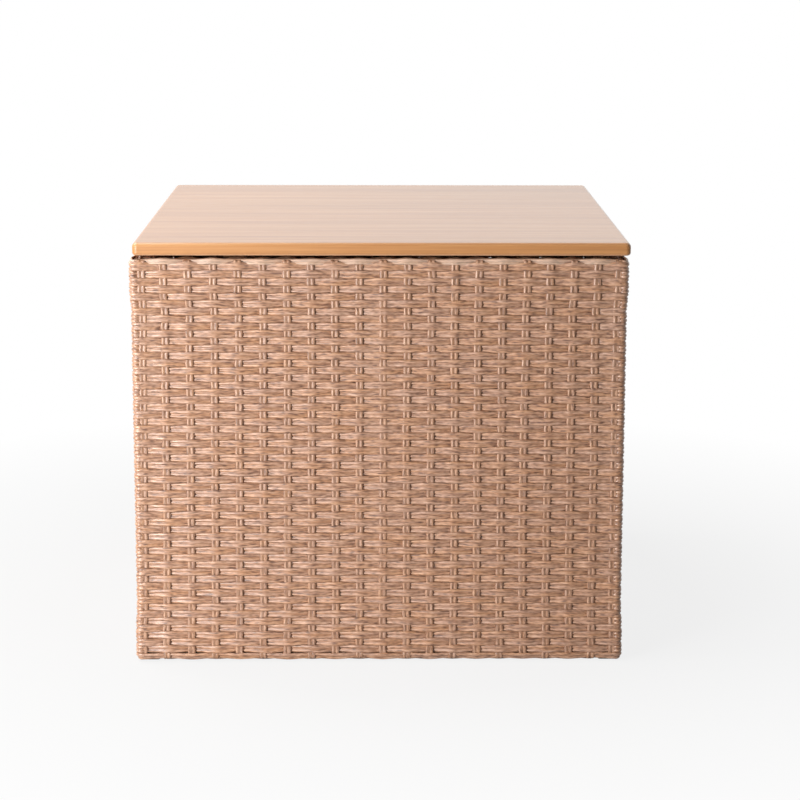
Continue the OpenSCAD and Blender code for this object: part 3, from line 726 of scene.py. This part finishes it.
def shown_plain(tree, to_rear):
    """1 for what the camera sees, also through glass, and to_rear's share for mirrored rays."""
    rays = tree.nodes.new("ShaderNodeLightPath").outputs
    mirrored = add_node(tree, "ShaderNodeMath", {"operation": "MULTIPLY"},
                        _0=rays["Is Glossy Ray"], _1=to_rear)
    seen = add_node(tree, "ShaderNodeMath", {"operation": "MAXIMUM"},
                    _0=rays["Is Camera Ray"], _1=mirrored.outputs[0])
    return add_node(tree, "ShaderNodeMath", {"operation": "MAXIMUM"},
                    _0=seen.outputs[0], _1=rays["Is Transmission Ray"]).outputs[0]


def pale_paper():
    """Matt white paper; the camera and reflections see it fade to plain white away from the box."""
    material, tree, shader = new_material("pale_paper", 0.9)
    shader.inputs["Specular IOR Level"].default_value = 0.1
    place = add_node(tree, "ShaderNodeTexCoord").outputs["Object"]
    cloud = noise(tree, place, Scale=3.0, Detail=2.0)
    tree.links.new(ramp(tree, cloud, [(0.3, srgb(196, 195, 193)), (0.7, srgb(200, 199, 197))]),
                   shader.inputs["Base Color"])
    glow = add_node(tree, "ShaderNodeEmission", Color=grey(1.0), Strength=1.0)
    depth = add_node(tree, "ShaderNodeSeparateXYZ", Vector=place).outputs["Y"]
    rear = add_node(tree, "ShaderNodeMapRange", Value=depth, From_Min=-0.3, From_Max=0.3)
    away = add_node(tree, "ShaderNodeVectorMath", {"operation": "LENGTH"}, Vector=place)
    fade = ramp(tree, away.outputs["Value"], [(0.35, grey(0.84)), (0.95, grey(1.0))])
    share = add_node(tree, "ShaderNodeMath", {"operation": "MULTIPLY"},
                     _0=shown_plain(tree, rear.outputs["Result"]), _1=fade)
    both = add_node(tree, "ShaderNodeMixShader", Fac=share.outputs[0], _1=shader.outputs["BSDF"],
                    _2=glow.outputs["Emission"])
    output = next(node for node in tree.nodes if node.type == "OUTPUT_MATERIAL")
    tree.links.new(both.outputs["Shader"], output.inputs["Surface"])
    return material


floor.data.materials.append(pale_paper())

# The room is white to the camera and a soft, even light to the box.
AMBIENT = 0.15
world = bpy.data.worlds.new("white_room")
bpy.context.scene.world = world
world.use_nodes = True
room = world.node_tree
background = room.nodes["Background"]
background.inputs["Color"].default_value = grey(1.0)
direction = add_node(room, "ShaderNodeTexCoord").outputs["Generated"]
depth = add_node(room, "ShaderNodeSeparateXYZ", Vector=direction).outputs["Y"]
rear = add_node(room, "ShaderNodeMapRange", Value=depth, From_Min=-0.1, From_Max=0.3)
level = add_node(room, "ShaderNodeMath", {"operation": "MULTIPLY_ADD"},
                 _0=shown_plain(room, rear.outputs["Result"]), _1=1.0 - AMBIENT, _2=AMBIENT)
room.links.new(level.outputs[0], background.inputs["Strength"])


def lamp(name, place, aim, size, power, colour):
    """A square soft box at a place, turned to face its aim."""
    light = bpy.data.lights.new(name, "AREA")
    light.shape, light.size, light.energy, light.color = "SQUARE", size, power, colour
    thing = bpy.data.objects.new(name, light)
    thing.location = place
    thing.rotation_euler = (Vector(aim) - Vector(place)).to_track_quat("-Z", "Y").to_euler()
    thing.visible_camera = False
    bpy.context.scene.collection.objects.link(thing)


lamp("left_soft_box", (-1.1, -1.35, 0.45), (0.0, -0.2, 0.2), 0.7, 26.5, (1.0, 1.02, 1.045))
lamp("top_soft_box", (-0.8, -0.05, 1.5), (0.0, 0.0, 0.42), 1.1, 18.0, (1.0, 1.0, 1.0))

# The camera's place and turn were fitted to the corners of lid and weave in the photograph.
FOCAL_PIXELS, FRAME_PIXELS, SENSOR = 2195.26, 800, 36.0
CAMERA_AT = (-0.0026, -2.4272, 0.7503)
pitch, yaw, roll = np.radians([12.233, 0.623, 0.129])
forward = np.array([math.sin(yaw) * math.cos(pitch), math.cos(yaw) * math.cos(pitch),
                    -math.sin(pitch)])
level_right = np.array([math.cos(yaw), -math.sin(yaw), 0.0])
level_up = np.cross(level_right, forward)
right = math.cos(roll) * level_right + math.sin(roll) * level_up
up = -math.sin(roll) * level_right + math.cos(roll) * level_up
eye = bpy.data.cameras.new("photo_camera")
eye.sensor_fit, eye.sensor_width = "HORIZONTAL", SENSOR
eye.lens = FOCAL_PIXELS * SENSOR / FRAME_PIXELS
eye.clip_start, eye.clip_end = 0.05, 200.0
camera = bpy.data.objects.new("photo_camera", eye)
turned = np.eye(4)
turned[:3, 0], turned[:3, 1], turned[:3, 2], turned[:3, 3] = right, up, -forward, CAMERA_AT
camera.matrix_world = Matrix(turned.tolist())
bpy.context.scene.collection.objects.link(camera)
bpy.context.scene.camera = camera
bpy.context.scene.view_settings.view_transform = "Standard"
